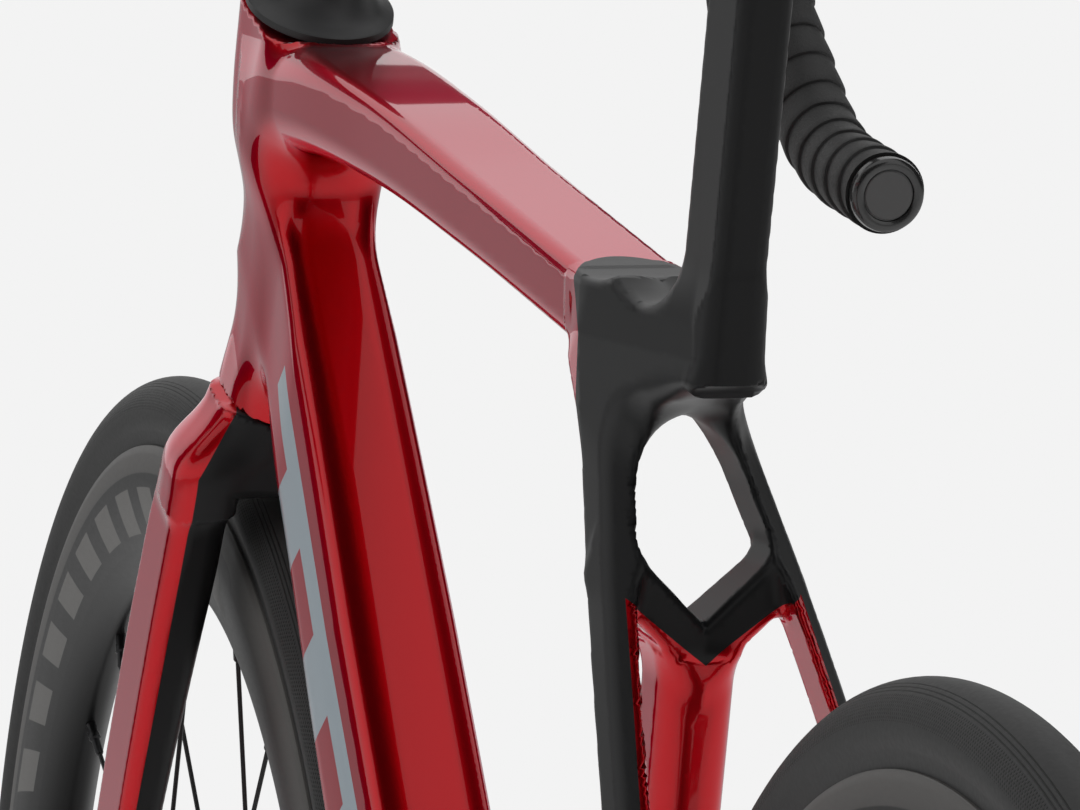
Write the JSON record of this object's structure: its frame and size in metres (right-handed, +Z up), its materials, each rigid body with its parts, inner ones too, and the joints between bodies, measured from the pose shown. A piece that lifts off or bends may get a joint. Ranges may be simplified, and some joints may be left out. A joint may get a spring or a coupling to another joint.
{
  "type": "aero road bike",
  "caption": "Aero road bike with a window through the seat cluster, disc brakes, deep carbon wheels and a one-piece bar and stem.",
  "frame": {"origin": "top of the saddle, where the rider sits and holds the bike up", "axes": "+X forward, +Y to the rider's left, +Z up; wheels turn about Y"},
  "size_m": [1.6693, 0.4774, 0.9817],
  "materials": {
    "red": "metallic red paint with clear coat",
    "black_carbon": "satin black paint on carbon",
    "tyre": "dark grey rubber",
    "rim": "satin carbon with grey bands",
    "black_alloy": "black anodised",
    "steel": "brushed",
    "chain": "oiled steel",
    "spoke": "black coated steel",
    "tape": "textured foam tape",
    "hood": "moulded rubber hood",
    "cover": "smooth saddle cover",
    "plug": "glossy ring with a plain grey disc"
  },
  "bodies": {
    "frame": {"head_tube": "red", "down_tube": "red", "top_tube": "red", "seat_tube": "red", "seat_cluster": "black_carbon", "left_seat_stay": "black_carbon", "right_seat_stay": "black_carbon", "left_chainstay": "black_carbon", "right_chainstay": "black_carbon", "bottom_bracket_shell": "red", "seat_post": "black_carbon", "saddle_clamp": "black_alloy", "saddle_rails": "steel", "saddle": "cover", "derailleur_hanger": "black_alloy", "rear_derailleur": "black_alloy", "front_derailleur": "black_alloy", "chain": "chain", "rear_brake_caliper": "black_alloy", "rear_thru_axle": "black_alloy"},
    "steering": {"fork": "red", "headset_cover": "black_carbon", "handlebar": "black_carbon", "left_bar_tape": "tape", "right_bar_tape": "tape", "left_bar_plug": "plug", "right_bar_plug": "plug", "left_brake_lever": "hood", "right_brake_lever": "hood", "front_brake_caliper": "black_alloy", "front_thru_axle": "black_alloy"},
    "front_wheel": {"front_rim": "rim", "front_tyre": "tyre", "front_hub": "black_alloy", "front_spokes": "spoke", "front_rotor": "steel"},
    "rear_wheel": {"rear_rim": "rim", "rear_tyre": "tyre", "rear_hub": "black_alloy", "rear_spokes": "spoke", "rear_rotor": "steel"},
    "cassette": {"cassette": "steel"},
    "crank": {"left_crank_arm": "black_alloy", "right_crank_arm": "black_alloy", "chainrings": "black_alloy", "crank_spindle": "steel"}
  },
  "joints": [
    {"name": "steering_turn", "type": "hinge", "parent": "frame", "child": "steering", "pos_m": [0.60365, 0, -0.14379], "axis": [-0.284, 0, 0.9588], "range_deg": [-60, 60]},
    {"name": "front_wheel_spin", "type": "hinge", "parent": "steering", "child": "front_wheel", "pos_m": [0.79199, 0, -0.63879], "axis": [0, 1, 0], "continuous": true},
    {"name": "rear_wheel_spin", "type": "hinge", "parent": "frame", "child": "rear_wheel", "pos_m": [-0.19133, 0, -0.63879], "axis": [0, 1, 0], "continuous": true},
    {"name": "crank_spin", "type": "hinge", "parent": "frame", "child": "crank", "pos_m": [0.21265, 0, -0.70879], "axis": [0, 1, 0], "continuous": true},
    {"name": "cassette_spin", "type": "hinge", "parent": "frame", "child": "cassette", "pos_m": [-0.19133, 0, -0.63879], "axis": [0, 1, 0], "continuous": true}
  ],
  "couplings": [
    {"joint": "cassette_spin", "follows": "crank_spin", "ratio": 3.4667}
  ]
}
